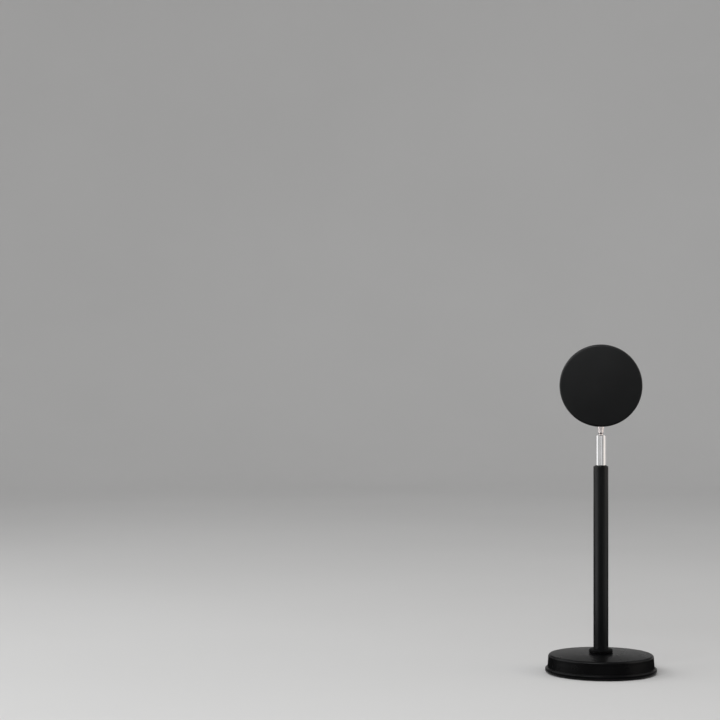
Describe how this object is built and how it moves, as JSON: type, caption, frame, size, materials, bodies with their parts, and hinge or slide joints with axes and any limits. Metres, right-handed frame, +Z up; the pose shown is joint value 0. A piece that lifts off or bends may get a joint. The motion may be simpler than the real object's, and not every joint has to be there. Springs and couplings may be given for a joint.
{
  "type": "sunset projection lamp",
  "caption": "Small table lamp that throws a round coloured glow: a drum head with a domed lens on a ball swivel, a straight pole and a weighted round base.",
  "frame": {"origin": "middle of the underside of the base, on the surface that the lamp stands on", "axes": "+Z up along the pole, +Y the way the beam leaves the head and the side of the base with the cord inlet, +X completes the right-handed frame"},
  "size_m": [0.0926, 0.0926, 0.2732],
  "materials": {
    "satin_black": "satin black lacquer",
    "matt_black": "matt black anodised",
    "chrome_plate": "polished chrome plate",
    "ballast_iron": "as cast, phosphated",
    "zinc_steel": "zinc plated",
    "raw_aluminium": "turned",
    "black_rubber": "matt",
    "nylon": "natural",
    "lens_glass": "polished",
    "filter_glass": "coloured in rings",
    "white_board": "white solder mask",
    "phosphor": "satin",
    "reflector_silver": "bright coating",
    "lead_jacket": "satin"
  },
  "bodies": {
    "base": {"foot_pad": "black_rubber", "base_bottom_plate": "zinc_steel", "base_shell": "satin_black", "base_weight": "ballast_iron", "base_screws": "zinc_steel", "cord_grommet": "black_rubber", "pole": "satin_black", "pole_collar": "satin_black", "pole_stem": "zinc_steel", "stem_washer": "zinc_steel", "stem_nut": "zinc_steel", "pole_top_insert": "satin_black", "pole_lead": "lead_jacket"},
    "socket": {"swivel_socket": "chrome_plate", "socket_grub_screw": "zinc_steel", "ball_seat": "nylon", "seat_bush": "black_rubber"},
    "stud": {"ball_stud": "chrome_plate", "stud_washer": "zinc_steel", "stud_spring_washer": "zinc_steel", "stud_nut": "zinc_steel"},
    "head": {"head_shell": "matt_black", "rear_cover": "matt_black", "front_bezel": "matt_black", "lens_gasket": "black_rubber", "lens": "lens_glass", "lens_retainer": "matt_black", "reflector": "reflector_silver", "colour_filter": "filter_glass", "filter_ring": "matt_black", "reflector_screws": "zinc_steel", "heat_sink": "raw_aluminium", "heat_sink_screws": "zinc_steel", "led_board": "white_board", "led_chip": "phosphor", "led_screws": "zinc_steel", "head_lead": "lead_jacket"}
  },
  "joints": [
    {"name": "socket_turn", "type": "hinge", "parent": "base", "child": "socket", "pos_m": [0, 0, 0.177], "axis": [0, 0, 1], "continuous": true},
    {"name": "head_tilt", "type": "hinge", "parent": "socket", "child": "stud", "pos_m": [0, 0, 0.1936], "axis": [-1, 0, 0], "range_deg": [-25, 90]},
    {"name": "head_turn", "type": "hinge", "parent": "stud", "child": "head", "pos_m": [0, 0, 0.2055], "axis": [0, 0, 1], "range_deg": [-175, 175]}
  ]
}
